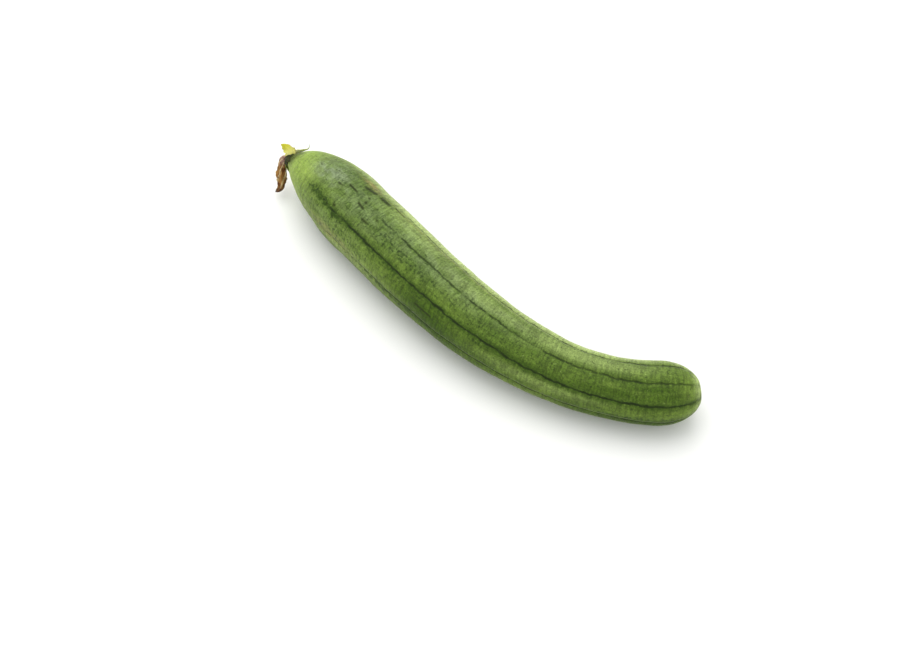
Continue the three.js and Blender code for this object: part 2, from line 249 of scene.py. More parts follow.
# The calyx, as in the solids, with finer blades and a ribbed cup, whose swell in millimetres is
# given at shares of its length. Each lobe has a tone, from dark to yellow, and two edges, whose
# knots are the distance out of the neck, that from its middle line, and the angle round it.
CUP_LENGTH = 3.7
CUP_BASE_RADIUS = 5.2
CUP_RIM_RADIUS = 4.1
CUP_SHARES = (0.0, 0.06, 0.24, 0.52, 0.8, 0.94, 1.0)
CUP_SWELL = (-0.25, 0.05, 0.2, 0.1, 0.05, -0.05, -0.35)
CUP_SIDES = 80
CUP_RIBS = 10
CUP_RIB = 0.14
LOBES = (
    (
        1.0,
        ((4.4, 3.9, 15), (7.9, 6.1, -6), (11.2, 9.1, -19)),
        ((0.4, 4.9, -50), (0.4, 7.9, -55), (3.5, 9.3, -44), (7.7, 10, -34), (11.2, 9.1, -19)),
    ),
    (
        0.8,
        ((1.6, 4.6, -58), (0, 8.3, -47), (-4.8, 11.5, -53), (-6.4, 13, -60), (-5.7, 17, -62)),
        ((1.6, 4.6, -88), (0, 7.6, -82), (-4.8, 10.8, -66), (-6.6, 13, -64), (-5.7, 17, -62)),
    ),
    (
        0.6,
        ((3.4, 3.9, 182), (3.4, 7, 186), (2, 9.5, 192), (0.4, 11.6, 200)),
        ((1, 4.7, 222), (1.6, 7, 216), (1.4, 9.4, 210), (0.4, 11.6, 200)),
    ),
    (
        0.5,
        ((3.6, 3.9, 104), (1.8, 6.1, 110), (-1, 7.4, 117), (-2.8, 8.7, 124)),
        ((1, 4.6, 142), (0.4, 6.3, 137), (-1.4, 7.5, 131), (-2.8, 8.7, 124)),
    ),
    # This lobe's dark tone is partly painted shade under the yellow lobe.
    (
        0.0,
        ((3.4, 4, 22), (1.8, 5.7, 23), (-0.4, 6.9, 28), (-2, 7.9, 38)),
        ((3.4, 4, 58), (1.8, 5.7, 55), (-0.4, 6.9, 49), (-2, 7.9, 38)),
    ),
)
LOBE_REACH = 0.985
LOBE_THICKNESS = 0.5
LOBE_CUPPING = 0.12
LOBE_ROWS = 44
LOBE_COLUMNS = 14
LOBE_EDGE_STEPS = 100
LOBE_WAVE = 0.05
LOBE_KEEL = 0.2
LOBE_KEEL_WIDTH = 0.16

# The withered corolla, as in the solids, with thinner and more crumpled petals.
COROLLA_ROUTE = (
    (CUP_LENGTH + 2 * GAP, 0, 0),
    (5.9, 0, -0.1),
    (7.6, 1.3, -3),
    (7, 3.8, -6.9),
    (5.3, 7, -10),
    (3.6, 10.5, -13.9),
    (2.2, 14, -17),
    (4.6, 16.8, -20),
)
COROLLA_RADIUS_AT = (0, 0.2, 0.5, 0.8, 1)
COROLLA_RADIUS = (1.9, 2.5, 3.9, 2.6, 0.7)
COROLLA_STEPS = 200
CORE_SHARE = 0.62
CORE_SIDES = 40
PETALS = 5
PETAL_THICKNESS = 0.28
PETAL_WRAP = 130 * DEGREE
PETAL_TWIST = 150 * DEGREE
PETAL_START = 0.03
PETAL_END = 0.97
PETAL_INNER_SHARE = 0.55
PETAL_ROWS = 110
PETAL_COLUMNS = 22

# The crumples of a petal, coarse to fine: their height, and their waves round the core and along
# it. Its free edge flares in waves too, the finer the nearer to the edge: their height, how sharply
# they keep to the edge, their waves along it, and how these differ from petal to petal.
PETAL_CRUMPLES = ((0.3, 5, 9), (0.14, 17, -21), (0.08, 31, 47))
PETAL_FLARES = ((0.55, 4, 23, 2), (0.3, 6, 61, 5))

# The stump of the stalk, as in the solids, with its edge rounded and its face slightly hollowed:
# shares of its length and of its radius, from its foot to the middle of its face.
STUMP_RADIUS = 4.6
STUMP_RIB = 0.45
STUMP_RIBS = 5
STUMP_SIDES = 90
STUMP_LENGTH = 1.3
STUMP_PROFILE = ((0, 0.96), (0.1, 1), (0.85, 1), (0.97, 0.97), (1, 0.9), (0.93, 0.6), (0.88, 0.25))

# The camera, its distance, lens and sensor in millimetres, and the point that it looks at, in
# millimetres from the neck's end.
CAMERA_AZIMUTH = 34.6 * DEGREE
CAMERA_ELEVATION = 56.1 * DEGREE
CAMERA_DISTANCE = 1070.0
CAMERA_AIM = (172.9, -50.1, 20.0)
CAMERA_LENS = 64.5
CAMERA_SENSOR = 36.0

# The light, in metres and watts: one large soft source above the gourd and beyond it, and pale
# surroundings. It is bright enough for the floor to look white, so colours are made darker by its
# excess. The key light's direction is given as shares beyond the gourd, up, and to the right.
KEY_DIRECTION = (0.4, 1.0, -0.1)
KEY_CENTRE = (0.0, 0.0, 0.02)
KEY_DISTANCE = 1.6
KEY_SIZE = 1.7
KEY_POWER = 18.0
KEY_TINT = (1.0, 0.99, 0.96)
WORLD_TINT = (0.98, 0.99, 1.0, 1.0)
WORLD_STRENGTH = 1.0
LIGHT_EXCESS = 1.2

# The floor's half width, and how far it lies below the gourd, in metres.
FLOOR_HALF = 3.0
FLOOR_DROP = 0.00005


def smoothstep(value, low, high):
    share = np.clip((value - low) / (high - low), 0, 1)
    return share * share * (3 - 2 * share)


def blend(fractions, values, at):
    """A smooth curve through the values given at a few fractions of a length."""
    fractions = np.array(fractions, float)
    values = np.array(values, float)
    slopes = np.empty(len(values))
    slopes[1:-1] = (values[2:] - values[:-2]) / (fractions[2:] - fractions[:-2])
    slopes[0] = (values[1] - values[0]) / (fractions[1] - fractions[0])
    slopes[-1] = (values[-1] - values[-2]) / (fractions[-1] - fractions[-2])
    at = np.clip(at, 0, 1)
    low = np.clip(np.searchsorted(fractions, at, side="right") - 1, 0, len(values) - 2)
    span = fractions[low + 1] - fractions[low]
    u = (at - fractions[low]) / span
    rise = values[low + 1] - values[low]
    bend = u * (1 - u) * span
    eased = values[low] + rise * u * u * (3 - 2 * u)
    return eased + bend * ((1 - u) * slopes[low] - u * slopes[low + 1])


def heading(fraction):
    turned = 1 / (1 + np.exp((BEND_CENTRE - fraction) / BEND_SPREAD))
    return HEADING_AT_START + BEND * turned + NOSE_BEND * np.exp(-fraction / NOSE_BEND_SPREAD)


def girth(fraction):
    return blend(GIRTH_AT, GIRTH_RADIUS, fraction)


def middle_height(fraction):
    """How high the middle line runs, so that the underside meets the floor only at the rests."""
    near = [np.exp(-(((fraction - rest) / REST_WIDTH) ** 2)) for rest in RESTS]
    return girth(fraction) - REST_SINK + REST_LIFT * (1 - np.max(near, axis=0))


MIDDLE_STEPS = 700
_strides = heading((np.arange(MIDDLE_STEPS) + 0.5) / MIDDLE_STEPS)
MIDDLE_X = np.concatenate([[0], np.cumsum(np.cos(_strides))]) * LENGTH / MIDDLE_STEPS
MIDDLE_Y = np.concatenate([[0], np.cumsum(np.sin(_strides))]) * LENGTH / MIDDLE_STEPS


def middle_at(distance):
    """The middle line's points, and the directions along it and to its left."""
    fraction = np.clip(np.asarray(distance, float) / LENGTH, 0, 1)
    place = fraction * MIDDLE_STEPS
    steps = np.arange(MIDDLE_STEPS + 1)
    x = np.interp(place, steps, MIDDLE_X)
    y = np.interp(place, steps, MIDDLE_Y)
    point = np.stack([x, y, middle_height(fraction)], -1)
    direction = heading(fraction)
    along = np.stack([np.cos(direction), np.sin(direction), 0 * direction], -1)
    left = np.stack([-along[..., 1], along[..., 0], 0 * direction], -1)
    return point, along, left


def skin_rings():
    """Distances along the gourd and radii of its rings, from the neck to the dimple's floor."""
    share = 1 - np.cos(np.pi / 2 * np.arange(BLOSSOM_RINGS) / BLOSSOM_RINGS)
    blossom = NECK_START + BLOSSOM_TAPER * share
    taper = girth(blossom / LENGTH) * np.sqrt(1 - (1 - share) ** 2)
    distance = [blossom]
    radius = [(taper**4 + NECK_RADIUS**4) ** 0.25]
    body_start = NECK_START + BLOSSOM_TAPER
    body_end = LENGTH - STALK_TAPER
    body = np.linspace(body_start, body_end, BODY_RINGS, endpoint=False)
    distance.append(body)
    radius.append(girth(body / LENGTH))
    rim_turn = math.acos(DIMPLE_RIM_RADIUS / girth(1.0))
    dimple = np.linspace(DIMPLE_RIM_RADIUS, DIMPLE_FLOOR_RADIUS, DIMPLE_RINGS + 1)
    turn = np.concatenate([
        np.linspace(0, rim_turn, STALK_RINGS, endpoint=False),
        np.arccos(dimple / girth(1.0)),
    ])
    bulge = STALK_TAPER * np.sin(turn) ** (2 / STALK_TAPER_BLUNTNESS)
    into = smoothstep(np.arange(len(turn)), STALK_RINGS, STALK_RINGS + DIMPLE_RINGS)
    distance.append(body_end + bulge - DIMPLE_DEPTH * into)
    radius.append(girth((body_end + STALK_TAPER * np.sin(turn)) / LENGTH) * np.cos(turn))
    return np.concatenate(distance), np.concatenate(radius)


def furrow_fade(distance):
    from_neck = smoothstep(distance, 0, BLOSSOM_TAPER * BLOSSOM_FADE)
    from_stalk = smoothstep(LENGTH - distance, 0, STALK_TAPER * STALK_FADE)
    return from_neck * from_stalk


def swelling(place):
    """Slight unevenness of the skin, as a sum of seeded waves through the straightened gourd."""
    draw = np.random.default_rng(SWELLING_SEED)
    total = np.zeros(place.shape[:-1])
    for height, shortest, longest in SWELLINGS:
        for _ in range(SWELLING_WAVES):
            direction = draw.normal(size=3)
            direction /= np.linalg.norm(direction)
            wavelength = draw.uniform(shortest, longest)
            shift = draw.uniform(0, 2 * np.pi)
            wave = np.sin(place @ direction * (2 * np.pi / wavelength) + shift)
            total += wave * height / math.sqrt(2 * SWELLING_WAVES)
    return total


def ring_faces(rings, sides):
    """Quads between rings of points, and fans to a middle point at both ends."""
    side = np.arange(sides)
    beside = (side + 1) % sides
    here = (np.arange(rings - 1) * sides)[:, None]
    quads = np.stack([here + side, here + beside, here + sides + beside, here + sides + side], -1)
    first = rings * sides
    last = (rings - 1) * sides
    fan_in = [(first, int(b), int(a)) for a, b in zip(side, beside)]
    fan_out = [(first + 1, last + int(a), last + int(b)) for a, b in zip(side, beside)]
    return quads.reshape(-1, 4).tolist() + fan_in + fan_out


def with_middles(rings):
    """The rings' points as one list, with the middle of the first and of the last ring added."""
    return np.concatenate([rings.reshape(-1, 3), rings[:1].mean(1), rings[-1:].mean(1)])


def blade_faces(rows, columns):
    """Both faces and the edges of a blade over a grid of rows and columns of points."""
    width = columns + 1
    count = (rows + 1) * width
    row = np.arange(rows)[:, None] * width
    column = np.arange(columns)
    corner = row + column
    front = np.stack([corner, corner + 1, corner + width + 1, corner + width], -1).reshape(-1, 4)
    back = front[:, ::-1] + count
    edge = [*range(columns), *range(columns, rows * width + columns, width)]
    edge += [*range(rows * width + columns, rows * width, -1), *range(rows * width, 0, -width)]
    rim = [(a, count + a, count + b, b) for a, b in zip(edge, edge[1:] + edge[:1])]
    return front.tolist() + back.tolist() + rim


def blade_points(points, normals, thickness):
    """Both faces of a blade whose thickness is a number or a grid of them, one for each point."""
    half = np.asarray(thickness)[..., None] / 2
    front = points + normals * half
    back = points - normals * half
    return np.concatenate([front.reshape(-1, 3), back.reshape(-1, 3)])


def straightened(distance, angle, reach):
    """Where a point of the skin would be if the gourd were straight, in millimetres."""
    distance = np.broadcast_to(distance, reach.shape)
    return np.stack([distance, reach * np.cos(angle), reach * np.sin(angle)], -1)


def patches_of(kind, distance, angle):
    """How strongly a kind of patch shows at places on the skin."""
    total = 0
    for name, centre, turned, length, width, strength in PATCHES:
        if name == kind:
            around = (np.degrees(angle) - turned + 180) % 360 - 180
            spread = ((distance - centre) / length) ** 2 + (around / width) ** 2
            total = np.maximum(total, strength * np.exp(-(spread**1.5)))
    return total


def dashes(distance, angle, radius):
    """The few short dark dashes that stand apart from the lines."""
    total = 0
    for start, end, turned, turned_on, half_width in DASHES:
        share = np.clip((distance - start) / (end - start), 0, 1)
        middle = turned + (turned_on - turned) * share
        around = ((np.degrees(angle) - middle + 180) % 360 - 180) * DEGREE * radius
        beyond = distance - np.clip(distance, start, end)
        off = np.sqrt(around**2 + beyond**2) / half_width
        total = np.maximum(total, np.exp(-(off**4)))
    return total


def line_facts(distance, even):
    """How whole the line nearest to each place is, and how dark the skin beside it is."""
    nearest = np.round((even - FIRST_FURROW_ANGLE) / (2 * np.pi / FURROWS)).astype(int) % FURROWS
    fraction = distance / LENGTH
    wholeness = np.zeros(np.broadcast_shapes(fraction.shape, even.shape))
    margin = np.zeros(wholeness.shape)
    beside = smoothstep(distance, MARGIN_STARTS, MARGIN_IS_FULL)
    for line, (blossom, body, stalk, dark) in enumerate(LINES):
        chosen = np.broadcast_to(nearest == line, wholeness.shape)
        whole = blend(LINE_FRACTIONS, (0, blossom, body, body, stalk, stalk), fraction)
        wholeness = np.where(chosen, whole, wholeness)
        margin = np.where(chosen, dark * beside, margin)
    return wholeness, margin


def skin_surface():
    """The skin's points, and what its material needs to know at each of them."""
    distance, radius = (values[:, None] for values in skin_rings())
    fraction = distance / LENGTH
    even = FIRST_FURROW_ANGLE + 2 * np.pi * np.arange(SKIN_SIDES) / SKIN_SIDES
    crowding = FURROW_CROWDING * np.sin(even - WIDEST_PANEL_ANGLE)
    angle = even + crowding + FURROW_TWIST * smoothstep(fraction, 0.4, 1)
    phase = FURROWS * (even - FIRST_FURROW_ANGLE) / 2
    across = (np.sin(phase) ** 2 + FURROW_SOFTNESS) ** (FURROW_SHARPNESS / 2)
    furrow = FURROW_DEPTH * furrow_fade(distance) * (1 - across)
    place = straightened(distance, angle, np.broadcast_to(radius, angle.shape))
    evenness = smoothstep(radius, NECK_RADIUS, 3 * NECK_RADIUS)
    reach = radius - furrow + swelling(place) * evenness
    point, _, left = middle_at(distance)
    spokes = left * np.cos(angle)[..., None] + np.array([0, 0, 1]) * np.sin(angle)[..., None]
    points = point + spokes * reach[..., None]
    points[..., 2] = np.maximum(points[..., 2], 0)
    spread = 1 + FURROW_CROWDING * np.cos(even - WIDEST_PANEL_ANGLE)
    panel = radius * spread * 2 * np.pi / FURROWS
    whole = np.ones(reach.shape)
    furrow_place = np.stack([whole * np.cos(2 * phase), whole * np.sin(2 * phase), panel], -1)
    patches = [whole * patches_of(kind, distance, angle) for kind in PATCH_KINDS]
    wholeness, margin = line_facts(distance, even)
    strokes = np.stack([wholeness, margin, dashes(distance, angle, radius)], -1)
    facts = {"place": place, "furrow": furrow_place, "lines": strokes}
    facts["marks_and_painted_light"] = np.stack(patches[:3], -1)
    facts["tints_and_painted_light"] = np.stack(patches[3:6], -1)
    facts["painted_shade"] = np.stack(patches[6:] * 3, -1)
    return points, facts


SKIN_POINTS, SKIN_FACTS = skin_surface()

# The part's origin lies under the middle of the whole object, so the shapes are moved to match
# the gourd's own solid.
_cad_low, _cad_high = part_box("fruit")
_own_low = SKIN_POINTS.min(axis=(0, 1)) * MM
_own_high = SKIN_POINTS.max(axis=(0, 1)) * MM
OFFSET = np.array([*((_cad_low + _cad_high) / 2)]) - (_own_low + _own_high) / 2
OFFSET[2] = 0


def make_piece(name, points, faces, facts=None, smooth=True):
    """A mesh object from points in millimetres. Facts are named vectors, one for each point."""
    mesh = bpy.data.meshes.new(name)
    mesh.from_pydata((points * MM + OFFSET).tolist(), [], faces)
    mesh.validate()
    for fact, values in (facts or {}).items():
        attribute = mesh.attributes.new(fact, "FLOAT_VECTOR", "POINT")
        attribute.data.foreach_set("vector", np.asarray(values, np.float32).ravel())
    if smooth:
        mesh.shade_smooth()
    piece = bpy.data.objects.new(name, mesh)
    bpy.context.scene.collection.objects.link(piece)
    return piece


class Nodes:
    """Adds shader nodes to a material and returns the socket that each one gives."""

    def __init__(self, name):
        self.material = bpy.data.materials.new(name)
        self.material.use_nodes = True
        self.tree = self.material.node_tree
        self.shader = self.tree.nodes["Principled BSDF"]

    def add(self, kind, inputs, output=0, **settings):
        node = self.tree.nodes.new(kind)
        for setting, value in settings.items():
            setattr(node, setting, value)
        for key, value in inputs.items():
            socket = node.inputs[key]
            if isinstance(value, bpy.types.NodeSocket):
                self.tree.links.new(value, socket)
            else:
                socket.default_value = value
        return node.outputs[output]

    def fact(self, name):
        return self.add("ShaderNodeAttribute", {}, "Vector", attribute_name=name)

    def split(self, vector):
        node = self.tree.nodes.new("ShaderNodeSeparateXYZ")
        self.tree.links.new(vector, node.inputs[0])
        return node.outputs

    def join(self, x, y, z):
        return self.add("ShaderNodeCombineXYZ", {0: x, 1: y, 2: z})

    def math(self, operation, a, b=0.0, clamp=False):
        return self.add("ShaderNodeMath", {0: a, 1: b}, operation=operation, use_clamp=clamp)

    def stretch(self, vector, factors):
        return self.add("ShaderNodeVectorMath", {0: vector, 1: factors}, operation="MULTIPLY")

    def shift(self, vector, offset):
        return self.add("ShaderNodeVectorMath", {0: vector, 1: offset}, operation="ADD")

    def noise(self, vector, scale, detail=2.0, roughness=0.5, distortion=0.0):
        inputs = {"Vector": vector, "Scale": scale, "Detail": detail}
        inputs.update({"Roughness": roughness, "Distortion": distortion})
        return self.add("ShaderNodeTexNoise", inputs, "Fac")

    def rise(self, value, low, high, start=0.0, end=1.0):
        """Goes smoothly from start to end as the value goes from low to high."""
        inputs = {"Value": value, "From Min": low, "From Max": high}
        inputs.update({"To Min": start, "To Max": end})
        return self.add("ShaderNodeMapRange", inputs, interpolation_type="SMOOTHSTEP")

    def mix(self, factor, a, b, blend_type="MIX"):
        node = self.tree.nodes.new("ShaderNodeMix")
        node.data_type = "RGBA"
        node.blend_type = blend_type
        for key, value in ((0, factor), (6, a), (7, b)):
            socket = node.inputs[key]
            if isinstance(value, bpy.types.NodeSocket):
                self.tree.links.new(value, socket)
            else:
                socket.default_value = value
        return node.outputs[2]

    def bump(self, height, distance):
        return self.add("ShaderNodeBump", {"Height": height, "Distance": distance, "Strength": 1.0})

    def finish(self, **inputs):
        for key, value in inputs.items():
            socket = self.shader.inputs[key.replace("_", " ")]
            if isinstance(value, bpy.types.NodeSocket):
                self.tree.links.new(value, socket)
            else:
                socket.default_value = value
        return self.material


def colour(red, green, blue, excess=LIGHT_EXCESS):
    """A colour given as it looks in this light, from 0 to 255, for a shader."""
    def linear(value):
        value /= 255
        value = value / 12.92 if value <= 0.04045 else ((value + 0.055) / 1.055) ** 2.4
        return value / excess
    return (linear(red), linear(green), linear(blue), 1.0)


def skin_material():
    n = Nodes("gourd_skin")
    tint = {name: colour(*value) for name, value in SKIN_COLOURS.items()}
    place = n.fact("place")
    distance, _, _ = n.split(place)
    cosine, sine, panel = n.split(n.fact("furrow"))
    # These masks hold painted highlight and painted shade as well as the skin's own colours.
    bloom_and_highlight, dark, warm = n.split(n.fact("marks_and_painted_light"))
    tan, pale, deep = n.split(n.fact("tints_and_painted_light"))
    whole, margin, dash = n.split(n.fact("lines"))
    painted_shade, _, _ = n.split(n.fact("painted_shade"))

    # The grain of the skin: a fine hatch across the gourd, specks, pores and larger blotches.
    hatch = n.noise(n.stretch(place, (1.0, 0.2, 0.2)), HATCH_SCALE, 3.0, 0.6, 0.15)
    specks = n.noise(n.shift(place, (31.0, 7.0, 3.0)), SPECK_SCALE, 3.0, 0.6)
    pores = n.noise(n.shift(place, (3.0, 57.0, 21.0)), PORE_SCALE, 2.0, 0.6)
    cloud_place = n.stretch(n.shift(place, (5.0, 40.0, 12.0)), (0.6, 1.0, 1.0))
    clouds = n.noise(cloud_place, CLOUD_SCALE, 3.0, 0.6)
    drift = n.noise(n.stretch(place, (0.5, 1.0, 1.0)), DRIFT_SCALE, 2.0, 0.5)

    # Broad drifts from green to a lighter, yellower green.
    base = n.mix(n.rise(drift, 0.35, 0.68), tint["green"], tint["light green"])
    base = n.mix(n.rise(clouds, 0.46, 0.3, 0.0, 0.5), base, tint["pale cloud"])
    base = n.mix(n.rise(clouds, 0.52, 0.68, 0.0, 0.5), base, tint["dark cloud"])

    # Tints of whole stretches: pale, mostly a painted highlight along the edges, deep, partly
    # painted shade on the lower side, yellow at the tip, tan, and a silvery bloom on top, partly a
    # painted highlight.
    base = n.mix(pale, base, tint["pale"])
    base = n.mix(deep, base, tint["deep"])
    tip = n.mix(n.rise(pores, 0.55, 0.68), tint["tip"], tint["tip pore"])
    base = n.mix(n.math("MULTIPLY", warm, n.rise(specks, 0.3, 0.55, 0.6, 1.0)), base, tip)
    base = n.mix(n.math("MULTIPLY", tan, n.rise(clouds, 0.62, 0.4, 0.4, 1.0)), base, tint["tan"])
    # The bloom is the skin's own, and over the upper side also a painted highlight.
    bloom_and_highlight_share = n.math("MULTIPLY", bloom_and_highlight, n.rise(clouds, 0.64, 0.4, 0.35, 1.0))
    base = n.mix(bloom_and_highlight_share, base, tint["bloom_and_highlight"])

    # Specks that stand alone, or run together in the dark patches. The dark patches along the lower
    # side are painted shade.
    limit = n.math("SUBTRACT", 0.6, n.math("MULTIPLY", dark, 0.13))
    speckled = n.rise(n.math("SUBTRACT", specks, limit), -0.02, 0.07)
    base = n.mix(n.math("MULTIPLY", dark, 0.4), base, tint["dark"])
    speckled = n.math("MULTIPLY", speckled, n.rise(dark, 0.2, 0.9, 0.58, 0.85))
    base = n.mix(speckled, base, tint["dark speck"])
    base = n.mix(n.rise(specks, 0.36, 0.28, 0.0, 0.35), base, tint["pale speck"])

    # The hatch, faint lengthwise streaks and the pores lighten and darken what lies under them.
    plain = n.math("MULTIPLY", warm, 0.5)
    hatched = n.mix(plain, n.rise(hatch, 0.34, 0.66, 1.22, 0.78), (1.0, 1.0, 1.0, 1.0))
    base = n.mix(1.0, base, hatched, "MULTIPLY")
    streaks = n.noise(n.stretch(place, (0.07, 1.0, 1.0)), STREAK_SCALE, 3.0, 0.6)
    base = n.mix(1.0, base, n.rise(streaks, 0.34, 0.66, 1.09, 0.9), "MULTIPLY")
    base = n.mix(1.0, base, n.rise(pores, 0.34, 0.66, 1.2, 0.8), "MULTIPLY")

    # The dark line in each furrow wavers, varies in width, breaks up where it is less whole and
    # grows faint toward the dimple.
    phase = n.math("ARCTAN2", sine, cosine)
    aside = n.math("MULTIPLY", n.math("DIVIDE", phase, 2 * math.pi), panel)
    waver = n.noise(n.shift(place, (90.0, 0.0, 0.0)), WAVER_SCALE, 3.0, 0.6)
    aside = n.math("ADD", aside, n.rise(waver, 0.25, 0.75, -WAVER_REACH, WAVER_REACH))
    off_line = n.math("ABSOLUTE", aside)
    bold = n.rise(distance, *WIDENING)
    vigour = n.rise(n.noise(place, VIGOUR_SCALE, 3.0, 0.6), 0.3, 0.7)
    width = n.math("ADD", n.math("MULTIPLY", vigour, 0.3), n.math("MULTIPLY", margin, 0.15))
    width = n.math("ADD", width, n.math("MULTIPLY", bold, 0.12))
    line = n.rise(n.math("SUBTRACT", off_line, width), 0.85, -0.05)
    depth = n.math("ADD", n.math("MULTIPLY", vigour, 0.3), n.math("MULTIPLY", margin, 0.3))
    depth = n.math("ADD", depth, 0.5, clamp=True)
    breaks = n.noise(n.stretch(place, (0.9, 0.5, 0.5)), BREAK_SCALE, 4.0, 0.6)
    threshold = n.math("SUBTRACT", 0.8, n.math("MULTIPLY", whole, 0.6))
    kept = n.rise(n.math("SUBTRACT", breaks, threshold), -0.08, 0.12)
    kept = n.math("MULTIPLY", kept, n.rise(distance, *FADING, 1.0, 0.25))
    line = n.math("MULTIPLY", line, kept)
    beside = n.math("MULTIPLY", n.rise(off_line, MARGIN_WIDTH, 0.3), margin)
    beside = n.math("MULTIPLY", beside, n.rise(specks, 0.34, 0.58, 0.45, 1.0))
    base = n.mix(n.math("MULTIPLY", beside, 0.9), base, tint["beside a line"])
    base = n.mix(n.math("MULTIPLY", line, depth), base, tint["line"])
    base = n.mix(n.math("MULTIPLY", dash, 0.92), base, tint["dash"])
    # Painted shade that the calyx casts on the neck.
    base = n.mix(painted_shade, base, tint["painted_shade"])

    # Skin relief finer than the mesh holds.
    fine = n.noise(place, FINE_SCALE, 3.0, 0.6)
    relief = n.math("ADD", n.math("MULTIPLY", hatch, 0.8), n.math("MULTIPLY", specks, 0.5))
    relief = n.math("ADD", relief, n.math("MULTIPLY", fine, 0.3))
    relief = n.math("SUBTRACT", relief, n.math("MULTIPLY", line, 0.4))
    return n.finish(
        Base_Color=base,
        Roughness=n.rise(specks, 0.3, 0.7, 0.62, 0.48),
        Specular_IOR_Level=0.14,
        Sheen_Weight=0.42,
        Sheen_Roughness=0.22,
        Sheen_Tint=tint["sheen"],
        Normal=n.bump(relief, 0.0006),
    )


def calyx_material():
    """Dark green to yellow, by each lobe's tone, with veins, brown margins and a dull tip."""
    n = Nodes("withered_calyx")
    along, across, tone = n.split(n.fact("blade"))
    place = n.fact("place")
    mottle = n.noise(place, 0.5, 4.0, 0.6)
    vein_place = n.join(n.math("MULTIPLY", along, 1.2), n.math("MULTIPLY", across, 6.0), tone)
    veins = n.noise(vein_place, 2.0)
    # The darkest tone, on the cup and the fifth lobe, is partly painted shade under the yellow lobe.
    base = n.mix(n.rise(mottle, 0.4, 0.65), colour(24, 34, 8), colour(58, 62, 16))
    base = n.mix(n.rise(tone, 0.1, 0.5), base, colour(146, 160, 70))
    # The curled lobe: pale cream on one side as a painted highlight and dark olive along the other
    # edge as painted shade, greyer toward its tip.
    lit_and_shaded_curl = n.mix(n.rise(across, 0.1, 0.6), colour(228, 230, 172), colour(66, 72, 4))
    lit_and_shaded_curl = n.mix(n.rise(along, 0.66, 0.85), lit_and_shaded_curl, colour(150, 164, 112))
    base = n.mix(n.rise(tone, 0.62, 0.78), base, lit_and_shaded_curl)
    yellow = n.mix(n.rise(along, 0.0, 0.7), colour(240, 236, 150), colour(196, 192, 44))
    yellow = n.mix(n.rise(mottle, 0.45, 0.7, 0.0, 0.5), yellow, colour(222, 220, 84))
    base = n.mix(n.rise(tone, 0.82, 1.0), base, yellow)
    base = n.mix(n.rise(veins, 0.5, 0.64, 0.0, 0.3), base, colour(120, 112, 40))
    edge = n.rise(n.math("ADD", across, n.math("MULTIPLY", mottle, 0.3)), 0.9, 1.15)
    edge = n.math("MULTIPLY", edge, n.rise(tone, 0.3, 1.0, 0.2, 0.7))
    base = n.mix(edge, base, colour(150, 124, 70))
    base = n.mix(n.rise(along, 0.9, 1.0, 0.0, 0.6), base, colour(120, 116, 80))
    height = n.math("ADD", veins, n.math("MULTIPLY", mottle, 0.5))
    return n.finish(
        Base_Color=base,
        Roughness=0.62,
        Specular_IOR_Level=0.2,
        Subsurface_Weight=0.1,
        Subsurface_Radius=(0.8, 0.9, 0.2),
        Subsurface_Scale=0.001,
        Normal=n.bump(height, 0.00015),
    )


def corolla_material():
    n = Nodes("withered_petals")
    along, across, which = n.split(n.fact("petal"))
    place = n.fact("place")
    streak_place = n.join(n.math("MULTIPLY", along, 1.6), n.math("MULTIPLY", across, 5.0), which)
    streaks = n.noise(streak_place, 2.2, 4.0, 0.6)
    mottle = n.noise(place, 0.3, 3.0, 0.6)
    base = n.mix(n.rise(streaks, 0.35, 0.62), colour(116, 72, 26), colour(180, 136, 74))
    base = n.mix(n.rise(along, 0.36, 0.16, 0.0, 0.8), base, colour(168, 136, 128))
    base = n.mix(n.rise(mottle, 0.5, 0.62, 0.0, 0.85), base, colour(78, 30, 8))
    cream = n.rise(n.math("SUBTRACT", across, n.math("MULTIPLY", mottle, 0.5)), 0.52, 0.8)
    base = n.mix(n.math("MULTIPLY", cream, 0.75), base, colour(226, 208, 156))
    base = n.mix(n.rise(along, 0.72, 0.92, 0.0, 0.75), base, colour(80, 38, 14))
    base = n.mix(n.rise(along, 0.92, 1.0, 0.0, 0.7), base, colour(54, 40, 38))
    height = n.math("ADD", streaks, n.math("MULTIPLY", mottle, 0.6))
    return n.finish(
        Base_Color=base,
        Roughness=0.75,
        Specular_IOR_Level=0.2,
        Normal=n.bump(height, 0.0003),
    )


def stump_material():
    n = Nodes("cut_stalk")
    place = n.fact("place")
    _, across, up = n.split(place)
    fibre = n.noise(place, 1.6, 3.0, 0.6)
    base = n.mix(n.rise(fibre, 0.35, 0.65), colour(158, 168, 96), colour(196, 200, 138))
    radial = n.math("SQRT", n.math("ADD", n.math("POWER", across, 2.0), n.math("POWER", up, 2.0)))
    rim = n.rise(radial, 3.7, 4.5)
    base = n.mix(rim, base, colour(98, 118, 52))
    cells = n.add("ShaderNodeTexVoronoi", {"Vector": place, "Scale": 0.55}, "Distance")
    dots = n.math("MULTIPLY", n.rise(cells, 0.32, 0.2), n.rise(radial, 1.4, 2.0))
    base = n.mix(n.math("MULTIPLY", dots, 0.5), base, colour(120, 128, 62))
    return n.finish(
        Base_Color=base,
        Roughness=0.7,
        Specular_IOR_Level=0.3,
        Normal=n.bump(fibre, 0.0002),
    )


def floor_material():
    n = Nodes("pale_floor")
    geometry = n.add("ShaderNodeNewGeometry", {}, "Position")
    faint = n.noise(geometry, 2.0, 2.0, 0.5)
    base = n.mix(faint, colour(238, 238, 236, 1.0), colour(242, 242, 240, 1.0))
    return n.finish(Base_Color=base, Roughness=0.9, Specular_IOR_Level=0.1)


